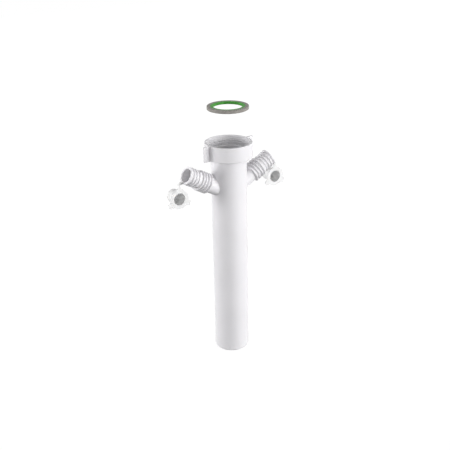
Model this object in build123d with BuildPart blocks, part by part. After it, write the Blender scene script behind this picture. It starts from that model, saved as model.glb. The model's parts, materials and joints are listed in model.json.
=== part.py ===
from build123d import *
import os
from math import cos, radians, sin

# Double appliance waste connector: a 40 mm waste tube with a 1 1/2 inch union nut, two barbed hose
# nozzles and two blanking caps on moulded straps. The two-part sealing washer is shown lifted off.
#
# Z is the tube's axis and points up, the origin is the centre of the tube's foot, and both nozzles and
# both caps lie in the XZ plane. All sizes are in millimetres and degrees.

os.makedirs("parts", exist_ok=True)

# Waste tube
tube_radius = 20.0
tube_wall = 2.2
foot_round = 2.0
seat_height = 246.4
flange_radius = 22.2
flange_thickness = 3.0
bead_height = 0.7
bead_width = 1.2
bead_crest = 0.8

# Union nut
nut_radius = 26.6
nut_height = 16.9
nut_lip_thickness = 3.4
nut_clearance = 0.35
nut_play = 0.3
nut_top_round = 0.7
nut_bottom_round = 1.2
thread_radius = 23.9
thread_length = 6.2
lead_in_length = 3.0
lead_in_gap = 0.4
chamber_radius = 23.1
wing_angle = 186.0
wing_reach = 34.2
wing_thickness = 2.2
wing_edge_round = 0.9
wing_root_groove = 1.0

# Hose nozzles, measured along each nozzle's axis from the tube's axis, which it meets below the seat
nozzle_drop = 49.1
nozzle_rise = 30.0
neck_reach = 33.4
neck_radius = 8.9
neck_fillet = 0.5
neck_bore_radius = 6.8
nozzle_bore_radius = 7.7
nozzle_bore_depth = 26.0
bore_step_length = 3.0
mouth_chamfer = 0.3
rib_pitch = 3.8
ribs_per_size = 4
large_rib_radius = 11.5
large_groove_radius = 9.7
small_rib_radius = 10.3
small_groove_radius = 8.9
mouth_lip_length = 1.9
rib_size_gap = 0.8
rib_back = 0.5
rib_crest = 1.0
rib_lead = 0.9

# Blanking caps
cap_wall = 0.8
plug_clearance = 0.1
plug_length = 16.5
plug_end_thickness = 1.2
plug_end_chamfer = 1.3
cap_flange_radius = 11.0
cap_flange_thickness = 1.6
lobe_reach = 14.6
lobe_tip_width = 4.4
lobe_tip_round = 1.2
lobe_root_width = 9.0
lobe_angles = (-30.0, 210.0)
strap_width = 3.2
strap_angle = 90.0
strap_thickness = 1.0
strap_root_gap = 0.1
strap_root_round = 0.45
strap_bend_radius = 2.7
strap_straight = 3.9
strap_flare_length = 2.2
strap_flare_root_width = 8.0

# Sealing washer
washer_lift = 46.9
washer_radius = 22.75
washer_thickness = 3.4
washer_edge_round = 0.5
lip_outer_radius = 19.0
lip_inner_radius = 16.0
lip_thickness = 2.8
lip_edge_round = 0.5

# Places worked out from the sizes above
tube_bore_radius = tube_radius - tube_wall
flange_bottom = seat_height - flange_thickness
nut_lip_top = flange_bottom - nut_play
nut_bottom = nut_lip_top - nut_lip_thickness
nut_top = nut_bottom + nut_height
nut_lip_radius = tube_radius + nut_clearance
thread_top = nut_top - lead_in_length
thread_bottom = thread_top - thread_length
lead_in_radius = thread_radius + lead_in_gap
bead_middle = nut_bottom + nut_lip_thickness / 2
plug_radius = nozzle_bore_radius - plug_clearance
cap_bore_radius = plug_radius - cap_wall
strap_flare_reach = cap_flange_radius + strap_flare_length
nozzle_height = seat_height - nozzle_drop
small_ribs_start = neck_reach + ribs_per_size * rib_pitch + rib_size_gap
mouth_lip_start = small_ribs_start + (ribs_per_size - 1) * rib_pitch
nozzle_length = mouth_lip_start + mouth_lip_length
strap_root_drop = nozzle_bore_radius + mouth_chamfer + strap_width / 2
washer_bottom = seat_height + washer_lift
washer_top = washer_bottom + washer_thickness
lip_bottom = washer_top - lip_thickness

rise_cos = cos(radians(nozzle_rise))
rise_sin = sin(radians(nozzle_rise))


def nozzle_point(side, along, below=0.0):
    """A point of the XZ plane, along a nozzle's axis and square below it. side is -1 or 1."""
    across = along * rise_cos + below * rise_sin
    height = nozzle_height + along * rise_sin - below * rise_cos
    return Vector(side * across, 0, height)


def nozzle_plane(side):
    """The plane that holds a nozzle's half section, with its X along the nozzle."""
    along = nozzle_point(side, 1) - nozzle_point(side, 0)
    return Plane(origin=nozzle_point(side, 0), x_dir=along, z_dir=(0, -1, 0))


def nozzle_axis(side):
    return Axis(nozzle_point(side, 0), nozzle_point(side, 1) - nozzle_point(side, 0))


def rib_profile(start, rib_radius, groove_radius, count):
    """Points of a run of barbs: steep towards the tube, a flat crest, and a lead towards the tip."""
    points = []
    for index in range(count):
        foot = start + index * rib_pitch
        crest = foot + rib_back
        points += [
            (foot, groove_radius),
            (crest, rib_radius),
            (crest + rib_crest, rib_radius),
            (crest + rib_crest + rib_lead, groove_radius),
        ]
    return points


def nozzle_outline():
    """Half section of a nozzle's outside. The last small rib is the mouth's lip."""
    large = rib_profile(neck_reach, large_rib_radius, large_groove_radius, ribs_per_size)
    small = rib_profile(small_ribs_start, small_rib_radius, small_groove_radius, ribs_per_size - 1)
    return [
        (0, 0),
        (0, neck_radius),
        (neck_reach, neck_radius),
        *large,
        (small_ribs_start, large_groove_radius),
        *small,
        (mouth_lip_start, small_groove_radius),
        (mouth_lip_start + rib_back, small_rib_radius),
        (nozzle_length - mouth_chamfer, small_rib_radius),
        (nozzle_length, small_rib_radius - mouth_chamfer),
        (nozzle_length, 0),
    ]


def nozzle_bore_outline():
    """Half section of a nozzle's waterway: a wide socket at the mouth that steps down to the neck."""
    socket_bottom = nozzle_length - nozzle_bore_depth
    return [
        (0, 0),
        (0, neck_bore_radius),
        (socket_bottom - bore_step_length, neck_bore_radius),
        (socket_bottom, nozzle_bore_radius),
        (nozzle_length - mouth_chamfer, nozzle_bore_radius),
        (nozzle_length, nozzle_bore_radius + mouth_chamfer),
        (nozzle_length + mouth_chamfer, nozzle_bore_radius + mouth_chamfer),
        (nozzle_length + mouth_chamfer, 0),
    ]


# Moulded body: tube, seat flange, snap bead and both nozzles
with BuildPart() as waste_body:
    with BuildSketch(Plane.XZ):
        with BuildLine():
            Polyline(
                (0, 0),
                (tube_radius, 0),
                (tube_radius, bead_middle - bead_width),
                (tube_radius + bead_height, bead_middle - bead_crest / 2),
                (tube_radius + bead_height, bead_middle + bead_crest / 2),
                (tube_radius, bead_middle + bead_width),
                (tube_radius, flange_bottom),
                (flange_radius, flange_bottom),
                (flange_radius, seat_height),
                (0, seat_height),
                close=True,
            )
        make_face()
    revolve(axis=Axis.Z)
    fillet(waste_body.edges().group_by(Axis.Z)[0], foot_round)
    for side in (-1, 1):
        with BuildSketch(nozzle_plane(side)):
            with BuildLine():
                Polyline(*nozzle_outline(), close=True)
            make_face()
        revolve(axis=nozzle_axis(side))
    straight_or_round = (GeomType.LINE, GeomType.CIRCLE)
    neck_roots = [edge for edge in waste_body.edges() if edge.geom_type not in straight_or_round]
    fillet(neck_roots, neck_fillet)
    with BuildSketch(Plane.XY):
        Circle(tube_bore_radius)
    extrude(amount=seat_height, mode=Mode.SUBTRACT)
    for side in (-1, 1):
        with BuildSketch(nozzle_plane(side)):
            with BuildLine():
                Polyline(*nozzle_bore_outline(), close=True)
            make_face()
        revolve(axis=nozzle_axis(side), mode=Mode.SUBTRACT)
waste_body.part.label = "waste_body"

# Union nut with two wings, held under the flange and over the bead
with BuildPart() as union_nut:
    with BuildSketch(Plane.XY.offset(nut_bottom)):
        Circle(nut_radius)
    extrude(amount=nut_height)
    rims = union_nut.edges().filter_by(GeomType.CIRCLE).sort_by(Axis.Z)
    fillet(rims[0], nut_bottom_round)
    fillet(rims[-1], nut_top_round)
    for turn in (0, 180):
        with BuildSketch(Plane.XY.offset(nut_bottom).rotated((0, 0, wing_angle + turn))):
            with Locations(((chamber_radius + wing_reach) / 2, 0)):
                Rectangle(wing_reach - chamber_radius, wing_thickness)
            fillet(vertices().group_by(Axis.X)[-1], wing_edge_round)
        extrude(amount=nut_height)
    with BuildSketch(Plane.XZ):
        with BuildLine():
            Polyline(
                (0, nut_bottom),
                (nut_lip_radius, nut_bottom),
                (nut_lip_radius, bead_middle - bead_width - nut_play),
                (nut_lip_radius + bead_height, bead_middle - bead_width - nut_play),
                (nut_lip_radius + bead_height, bead_middle + bead_width),
                (nut_lip_radius, bead_middle + bead_width),
                (nut_lip_radius, nut_lip_top),
                (chamber_radius, nut_lip_top),
                (chamber_radius, thread_bottom),
                (thread_radius, thread_bottom),
                (thread_radius, thread_top),
                (lead_in_radius, thread_top + lead_in_gap),
                (lead_in_radius, nut_top),
                (0, nut_top),
                close=True,
            )
        make_face()
    revolve(axis=Axis.Z, mode=Mode.SUBTRACT)
    for turn in (0, 180):
        for flank in (-1, 1):
            with BuildSketch(Plane.XY.offset(nut_bottom).rotated((0, 0, wing_angle + turn))):
                with Locations((nut_radius, flank * (wing_thickness / 2 + wing_root_groove))):
                    Circle(wing_root_groove)
            extrude(amount=nut_height, mode=Mode.SUBTRACT)
union_nut.part.label = "union_nut"


def arm_corners(root_width, tip_width, reach):
    """Corners of a tapered arm on a cap's flange, from its hollow out to a reach along X."""
    return [
        (cap_bore_radius, -root_width / 2),
        (reach, -tip_width / 2),
        (reach, tip_width / 2),
        (cap_bore_radius, root_width / 2),
    ]


def build_cap(side):
    """One blanking cap: a hollow plug on a flange with two grip lobes, and its flat strap."""
    root = nozzle_point(side, nozzle_length + strap_root_gap, strap_root_drop)
    heading = nozzle_point(side, 1) - nozzle_point(side, 0)
    cap_offset = abs(root.X) + strap_bend_radius * (1 + rise_sin)
    cap_height = root.Z - strap_bend_radius * rise_cos - strap_straight - cap_flange_radius
    cap_plane = Plane(origin=(side * cap_offset, 0, cap_height), x_dir=(1, 0, 0), z_dir=(0, -1, 0))
    lobe = arm_corners(lobe_root_width, lobe_tip_width, lobe_reach)
    strap_flare = arm_corners(strap_flare_root_width, strap_width, strap_flare_reach)

    with BuildPart() as strap:
        with BuildSketch(cap_plane.offset(-strap_thickness)):
            with BuildLine():
                bend = JernArc(
                    start=(root.X - side * cap_offset, root.Z - cap_height),
                    tangent=(heading.X, heading.Z),
                    radius=strap_bend_radius,
                    arc_size=-side * (90 + nozzle_rise),
                )
                Line(bend @ 1, (0, cap_flange_radius - strap_width / 2))
            trace(line_width=strap_width)
        extrude(amount=strap_thickness)
        root_face = strap.faces().sort_by_distance(root)[0]
        fillet(root_face.edges().filter_by(Axis.Y, reverse=True), strap_root_round)

    with BuildPart() as cap:
        with BuildSketch(cap_plane.offset(-cap_flange_thickness)):
            Circle(cap_flange_radius)
            for angle in lobe_angles:
                Polygon(*lobe, rotation=angle, align=None)
            Polygon(*strap_flare, rotation=strap_angle, align=None)
            corners = vertices().sort_by(SortBy.DISTANCE)
            tips = corners[-2 * len(lobe_angles):]
            fillet(tips, lobe_tip_round)
        extrude(amount=cap_flange_thickness)
        add(strap.part)
        with BuildSketch(cap_plane.offset(-plug_length)):
            Circle(plug_radius)
        extrude(amount=plug_length)
        chamfer(cap.faces().sort_by(Axis.Y)[-1].edges(), plug_end_chamfer)
        with BuildSketch(cap_plane):
            Circle(cap_bore_radius)
        extrude(amount=plug_end_thickness - plug_length, mode=Mode.SUBTRACT)
    return cap


right_cap = build_cap(1)
right_cap.part.label = "right_cap"
left_cap = build_cap(-1)
left_cap.part.label = "left_cap"

# Sealing washer: a firm outer ring and the soft lip moulded into it
with BuildPart() as seal_ring:
    with BuildSketch(Plane.XY.offset(washer_bottom)):
        Circle(washer_radius)
        Circle(lip_outer_radius, mode=Mode.SUBTRACT)
    extrude(amount=washer_thickness)
    fillet(seal_ring.edges().filter_by(GeomType.CIRCLE).group_by(SortBy.RADIUS)[-1], washer_edge_round)
seal_ring.part.label = "seal_ring"

with BuildPart() as seal_lip:
    with BuildSketch(Plane.XY.offset(lip_bottom)):
        Circle(lip_outer_radius)
        Circle(lip_inner_radius, mode=Mode.SUBTRACT)
    extrude(amount=lip_thickness)
    fillet(seal_lip.edges().filter_by(GeomType.CIRCLE).group_by(SortBy.RADIUS)[0], lip_edge_round)
seal_lip.part.label = "seal_lip"

pieces = (waste_body, union_nut, left_cap, right_cap, seal_ring, seal_lip)
for piece in pieces:
    export_step(piece.part, f"parts/{piece.part.label}.step")
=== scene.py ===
import json
from math import cos, pi, radians, sin

import bpy
from mathutils import Matrix, Vector


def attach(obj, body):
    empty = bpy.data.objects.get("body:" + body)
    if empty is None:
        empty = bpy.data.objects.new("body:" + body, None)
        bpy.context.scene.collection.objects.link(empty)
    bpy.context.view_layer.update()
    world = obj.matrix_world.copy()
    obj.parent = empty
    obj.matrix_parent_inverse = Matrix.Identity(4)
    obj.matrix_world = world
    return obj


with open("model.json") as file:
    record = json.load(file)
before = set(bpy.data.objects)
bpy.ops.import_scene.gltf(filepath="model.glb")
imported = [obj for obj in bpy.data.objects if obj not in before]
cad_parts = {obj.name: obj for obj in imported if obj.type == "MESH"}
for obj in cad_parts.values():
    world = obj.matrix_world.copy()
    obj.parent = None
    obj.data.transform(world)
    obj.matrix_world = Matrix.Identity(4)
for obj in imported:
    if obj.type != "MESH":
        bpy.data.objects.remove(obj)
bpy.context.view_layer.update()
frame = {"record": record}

millimetre = 0.001

# Camera, as the photograph was taken: metres, degrees, and the lens and sensor in millimetres
camera_bearing = 32.13
camera_distance = 0.7687
camera_height = 0.4973
camera_pitch = 23.863
camera_pan = -0.418
camera_roll = -1.202
camera_lens = 58.76
camera_sensor = 36
camera_near = 0.01
camera_far = 50

# Thread of the nut, in metres. The solid's plain bore is the thread's major radius. The ends fade over
# part of a turn, down to a share of the full height.
thread_pitch = 0.0023091
thread_root_radius = 0.0239
thread_crest_radius = 0.0233
thread_sink = 0.00015
thread_root_width = 0.0019
thread_crest_width = 0.0006
thread_fade_turns = 0.12
thread_end_share = 0.05
thread_steps_per_turn = 120

# Colours. Each plastic and rubber wanders between a darker and a lighter one.
body_whites = ((0.73, 0.72, 0.74), (0.76, 0.75, 0.77))
cap_whites = ((0.75, 0.75, 0.75), (0.78, 0.78, 0.78))
ring_greys = ((0.24, 0.225, 0.21), (0.31, 0.295, 0.275))
lip_greens = ((0.05, 0.27, 0.035), (0.08, 0.34, 0.05))

# Layers of finer noise in the clouds and in the grain, and where the clouds reach their two colours
cloud_detail = 3.0
grain_detail = 2.0
colour_ramp_ends = (0.3, 0.7)

# Grain of the plastics: the scales of their clouds, sheen and moulded grain, per metre, and how high
# the grain is. Light sinks in a little way, in metres.
plastic_clouds = 28
plastic_sheen = 60
plastic_grain = 1400
plastic_grain_strength = 0.06
plastic_grain_height = 0.0001
plastic_sheen_spread = 0.05
plastic_scatter = 0.08
plastic_scatter_depth = 0.0015
plastic_scatter_colours = (1.0, 0.95, 0.9)
plastic_ior = 1.49
plastic_gloss = 0.12

# Grain of the rubbers, in the same way
rubber_clouds = 180
rubber_sheen = 300
rubber_grain = 2500
rubber_grain_height = 0.00008
rubber_sheen_spread = 0.07
rubber_gloss = 0.15

# Lighting. The room's tones are at the floor, the walls and the ceiling. A lamp stands across the
# picture, towards the camera and up, in metres; then come its width and its power in watts.
room_low = 0.03
room_level = 0.8
room_high = 0.35
floor_half_width = 3.0
floor_shade = 0.08
floor_roughness = 0.9
floor_glow = 0.93
lamp_aim_height = 0.15
lamps = (
    ("key", (2.4, 1.0, 0.3), 1.8, 85.0),
    ("fill", (-2.5, 0.15, 0.3), 1.2, 57.0),
    ("front", (0.0, 2.6, 0.1), 1.6, 12.0),
    ("top", (-0.6, 0.3, 2.6), 0.8, 5.0),
)


def place_camera():
    """Stand the camera where the photograph's edges put it."""
    data = bpy.data.cameras.new("camera")
    data.lens = camera_lens
    data.sensor_width = camera_sensor
    data.sensor_fit = "HORIZONTAL"
    data.clip_start = camera_near
    data.clip_end = camera_far
    camera = bpy.data.objects.new("camera", data)
    bpy.context.collection.objects.link(camera)
    bearing = radians(camera_bearing)
    place = Vector((-camera_distance * sin(bearing), -camera_distance * cos(bearing), camera_height))
    heading = Matrix.Rotation(-radians(camera_bearing + camera_pan), 4, "Z")
    tilt = Matrix.Rotation(radians(90 - camera_pitch), 4, "X")
    roll = Matrix.Rotation(radians(camera_roll), 4, "Z")
    camera.matrix_world = Matrix.Translation(place) @ heading @ tilt @ roll
    bpy.context.scene.camera = camera


def view_point(across, towards, height):
    """A point given across the picture, towards the camera and up, from the foot of the tube."""
    bearing = radians(camera_bearing)
    right = Vector((cos(bearing), -sin(bearing), 0))
    back = Vector((-sin(bearing), -cos(bearing), 0))
    return right * across + back * towards + Vector((0, 0, height))


def new_material(name):
    material = bpy.data.materials.new(name)
    material.use_nodes = True
    tree = material.node_tree
    shader = tree.nodes["Principled BSDF"]
    return material, tree, shader


def noise(tree, scale, detail=cloud_detail):
    """Noise in the object's own metres, so that it stays on the piece."""
    place = tree.nodes.new("ShaderNodeTexCoord")
    texture = tree.nodes.new("ShaderNodeTexNoise")
    texture.inputs["Scale"].default_value = scale
    texture.inputs["Detail"].default_value = detail
    tree.links.new(place.outputs["Object"], texture.inputs["Vector"])
    return texture.outputs["Fac"]


def vary_colour(tree, shader, fac, low, high):
    ramp = tree.nodes.new("ShaderNodeValToRGB")
    for element, place, colour in zip(ramp.color_ramp.elements, colour_ramp_ends, (low, high)):
        element.position = place
        element.color = (*colour, 1)
    tree.links.new(fac, ramp.inputs["Fac"])
    tree.links.new(ramp.outputs["Color"], shader.inputs["Base Color"])


def vary_roughness(tree, shader, fac, roughness, spread):
    """Roughness that wanders by the spread to both sides of its middle value."""
    wander = tree.nodes.new("ShaderNodeMapRange")
    wander.inputs["To Min"].default_value = roughness - spread
    wander.inputs["To Max"].default_value = roughness + spread
    tree.links.new(fac, wander.inputs["Value"])
    tree.links.new(wander.outputs["Result"], shader.inputs["Roughness"])


def add_bump(tree, shader, fac, strength, distance):
    bump = tree.nodes.new("ShaderNodeBump")
    bump.inputs["Strength"].default_value = strength
    bump.inputs["Distance"].default_value = distance
    tree.links.new(fac, bump.inputs["Height"])
    tree.links.new(bump.outputs["Normal"], shader.inputs["Normal"])


def moulded_plastic(name, low, high, roughness):
    """White plastic: faint flow clouds, a soft sheen, a fine moulded grain and light that sinks in."""
    material, tree, shader = new_material(name)
    vary_colour(tree, shader, noise(tree, plastic_clouds), low, high)
    vary_roughness(tree, shader, noise(tree, plastic_sheen), roughness, plastic_sheen_spread)
    grain = noise(tree, plastic_grain, grain_detail)
    add_bump(tree, shader, grain, plastic_grain_strength, plastic_grain_height)
    shader.inputs["Subsurface Weight"].default_value = plastic_scatter
    shader.inputs["Subsurface Radius"].default_value = plastic_scatter_colours
    shader.inputs["Subsurface Scale"].default_value = plastic_scatter_depth
    shader.inputs["IOR"].default_value = plastic_ior
    shader.inputs["Specular IOR Level"].default_value = plastic_gloss
    return material


def rubber(name, low, high, roughness, grain_strength):
    """Moulded rubber with a fine grain and a little wear in its tone."""
    material, tree, shader = new_material(name)
    vary_colour(tree, shader, noise(tree, rubber_clouds), low, high)
    vary_roughness(tree, shader, noise(tree, rubber_sheen), roughness, rubber_sheen_spread)
    add_bump(tree, shader, noise(tree, rubber_grain, grain_detail), grain_strength, rubber_grain_height)
    shader.inputs["Specular IOR Level"].default_value = rubber_gloss
    return material


def dress(node, material):
    """Give every slot of a carried-over piece one material."""
    piece = bpy.data.objects[node]
    if not piece.material_slots:
        piece.data.materials.append(material)
    for slot in piece.material_slots:
        slot.link = "OBJECT"
        slot.material = material


def thread_mesh(bottom, top):
    """The nut's helical thread: a trapezoid ridge that fades out at both ends."""
    turns = (top - bottom - thread_root_width) / thread_pitch
    steps = round(turns * thread_steps_per_turn)
    start = bottom + thread_root_width / 2
    points = []
    faces = []
    for step in range(steps + 1):
        turn = turns * step / steps
        fade = min(1.0, turn / thread_fade_turns, (turns - turn) / thread_fade_turns)
        ridge = (thread_root_radius - thread_crest_radius) * max(fade, thread_end_share)
        crest = thread_root_radius - ridge
        angle = 2 * pi * turn
        middle = start + turn * thread_pitch
        outline = (
            (thread_root_radius + thread_sink, middle - thread_root_width / 2),
            (crest, middle - thread_crest_width / 2),
            (crest, middle + thread_crest_width / 2),
            (thread_root_radius + thread_sink, middle + thread_root_width / 2),
        )
        points += [(radius * cos(angle), radius * sin(angle), height) for radius, height in outline]
    sides = 4
    for step in range(steps):
        first = step * sides
        for side in range(sides):
            beside = (side + 1) % sides
            faces.append((first + side, first + beside, first + sides + beside, first + sides + side))
    faces.append(tuple(reversed(range(sides))))
    faces.append(tuple(steps * sides + side for side in range(sides)))
    mesh = bpy.data.meshes.new("nut_thread")
    mesh.from_pydata(points, [], faces)
    mesh.validate()
    for polygon in mesh.polygons:
        polygon.use_smooth = True
    return mesh


def add_lamp(name, place, target, size, power):
    data = bpy.data.lights.new(name, "AREA")
    data.shape = "DISK"
    data.size = size
    data.energy = power
    lamp = bpy.data.objects.new(name, data)
    lamp.location = place
    lamp.rotation_euler = (target - place).to_track_quat("-Z", "Y").to_euler()
    bpy.context.collection.objects.link(lamp)


def seen_directly(tree):
    """1 for what the camera sees straight on, in gloss or through glass, and 0 for light on the part."""
    paths = tree.nodes.new("ShaderNodeLightPath")
    seen = paths.outputs["Is Camera Ray"]
    for other in ("Is Glossy Ray", "Is Transmission Ray"):
        either = tree.nodes.new("ShaderNodeMath")
        either.operation = "MAXIMUM"
        tree.links.new(seen, either.inputs[0])
        tree.links.new(paths.outputs[other], either.inputs[1])
        seen = either.outputs["Value"]
    return seen


def light_the_world(low, level, high):
    """A pale room, brightest at its walls. The camera, gloss and glass see plain white."""
    world = bpy.data.worlds.new("world")
    bpy.context.scene.world = world
    world.use_nodes = True
    tree = world.node_tree
    tree.nodes.clear()
    place = tree.nodes.new("ShaderNodeTexCoord")
    split = tree.nodes.new("ShaderNodeSeparateXYZ")
    tree.links.new(place.outputs["Generated"], split.inputs["Vector"])
    spread = tree.nodes.new("ShaderNodeMapRange")
    spread.inputs["From Min"].default_value = -1
    tree.links.new(split.outputs["Z"], spread.inputs["Value"])
    ramp = tree.nodes.new("ShaderNodeValToRGB")
    ramp.color_ramp.interpolation = "EASE"
    ramp.color_ramp.elements.new(0.5)
    for element, value in zip(ramp.color_ramp.elements, (low, level, high)):
        element.color = (value, value, value, 1)
    tree.links.new(spread.outputs["Result"], ramp.inputs["Fac"])
    room = tree.nodes.new("ShaderNodeBackground")
    tree.links.new(ramp.outputs["Color"], room.inputs["Color"])
    seen = tree.nodes.new("ShaderNodeBackground")
    seen.inputs["Color"].default_value = (1, 1, 1, 1)
    mix = tree.nodes.new("ShaderNodeMixShader")
    output = tree.nodes.new("ShaderNodeOutputWorld")
    tree.links.new(seen_directly(tree), mix.inputs["Fac"])
    tree.links.new(room.outputs["Background"], mix.inputs[1])
    tree.links.new(seen.outputs["Background"], mix.inputs[2])
    tree.links.new(mix.outputs["Shader"], output.inputs["Surface"])


def lay_floor(half_width, shade, glow):
    """A plain pale floor that keeps the part's shadow."""
    mesh = bpy.data.meshes.new("floor")
    mesh.from_pydata(
        [(-half_width, -half_width, 0), (half_width, -half_width, 0),
         (half_width, half_width, 0), (-half_width, half_width, 0)], [], [(0, 1, 2, 3)])
    floor = bpy.data.objects.new("floor", mesh)
    bpy.context.collection.objects.link(floor)
    material, tree, shader = new_material("floor")
    shader.inputs["Base Color"].default_value = (shade, shade, shade, 1)
    shader.inputs["Roughness"].default_value = floor_roughness
    strength = tree.nodes.new("ShaderNodeMath")
    strength.operation = "MULTIPLY"
    strength.inputs[1].default_value = glow
    tree.links.new(seen_directly(tree), strength.inputs[0])
    shader.inputs["Emission Color"].default_value = (1, 1, 1, 1)
    tree.links.new(strength.outputs["Value"], shader.inputs["Emission Strength"])
    floor.data.materials.append(material)


place_camera()
light_the_world(room_low, room_level, room_high)
lay_floor(floor_half_width, floor_shade, floor_glow)
middle = Vector((0, 0, lamp_aim_height))
for name, (across, towards, height), size, power in lamps:
    add_lamp(name, view_point(across, towards, height), middle, size, power)

white = moulded_plastic("white_plastic", *body_whites, 0.4)
nut_white = moulded_plastic("nut_plastic", *body_whites, 0.42)
cap_white = moulded_plastic("cap_plastic", *cap_whites, 0.4)
grey = rubber("grey_rubber", *ring_greys, 0.6, 0.2)
green = rubber("green_rubber", *lip_greens, 0.5, 0.1)

for node, material in (
    ("waste_body", white),
    ("union_nut", nut_white),
    ("left_cap", cap_white),
    ("right_cap", cap_white),
    ("seal_ring", grey),
    ("seal_lip", green),
):
    dress(node, material)

mounts = {mount["name"]: mount for mount in frame["record"]["mounts"]}
thread = mounts["nut_thread"]
thread_middle = thread["pos_m"][2]
thread_half = thread["dims"]["length_mm"] * millimetre / 2
turns = thread_mesh(thread_middle - thread_half, thread_middle + thread_half)
nut_thread = bpy.data.objects.new("nut_thread", turns)
bpy.context.collection.objects.link(nut_thread)
nut_thread.data.materials.append(nut_white)
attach(nut_thread, "nut")

bpy.context.scene.view_settings.view_transform = "Standard"
